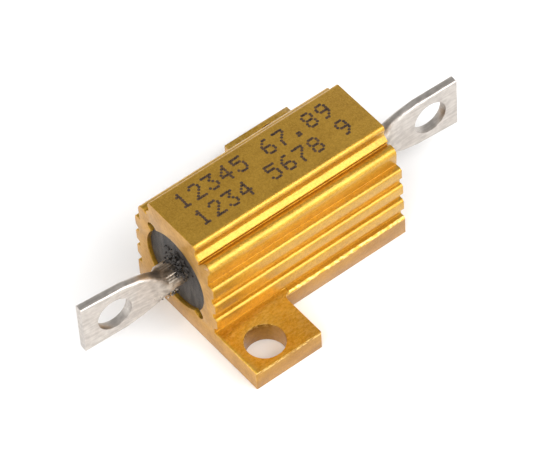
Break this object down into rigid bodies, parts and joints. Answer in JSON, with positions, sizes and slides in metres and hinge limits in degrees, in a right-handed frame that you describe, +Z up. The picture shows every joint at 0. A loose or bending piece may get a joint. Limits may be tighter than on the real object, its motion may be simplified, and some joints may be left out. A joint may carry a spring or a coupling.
{
  "type": "aluminium housed power resistor",
  "caption": "Gold anodised ribbed extrusion with diagonal screw feet, holding a moulded wirewound element with flattened eyelet terminals, for mounting on a heat sink.",
  "frame": {"origin": "middle of the flat base, on the plane it is screwed down to", "axes": "+X along the resistor towards the right terminal, +Y across it towards the rear foot, +Z up from the base through the flat top face"},
  "size_m": [0.0296, 0.016, 0.0088],
  "materials": {
    "gold_anodise": "extruded and gold anodised, satin",
    "black_moulding": "moulded dark charcoal compound, half gloss",
    "white_ceramic": "unglazed white ceramic",
    "resistance_alloy": "drawn resistance alloy wire",
    "plated_cap": "pressed plated steel",
    "tinned_lead": "hot tinned, satin"
  },
  "bodies": {
    "root": {"housing": "gold_anodise", "moulding": "black_moulding", "ceramic_core": "white_ceramic", "resistance_wire": "resistance_alloy", "end_cap_left": "plated_cap", "end_cap_right": "plated_cap", "terminal_left": "tinned_lead", "terminal_right": "tinned_lead"}
  },
  "joints": []
}
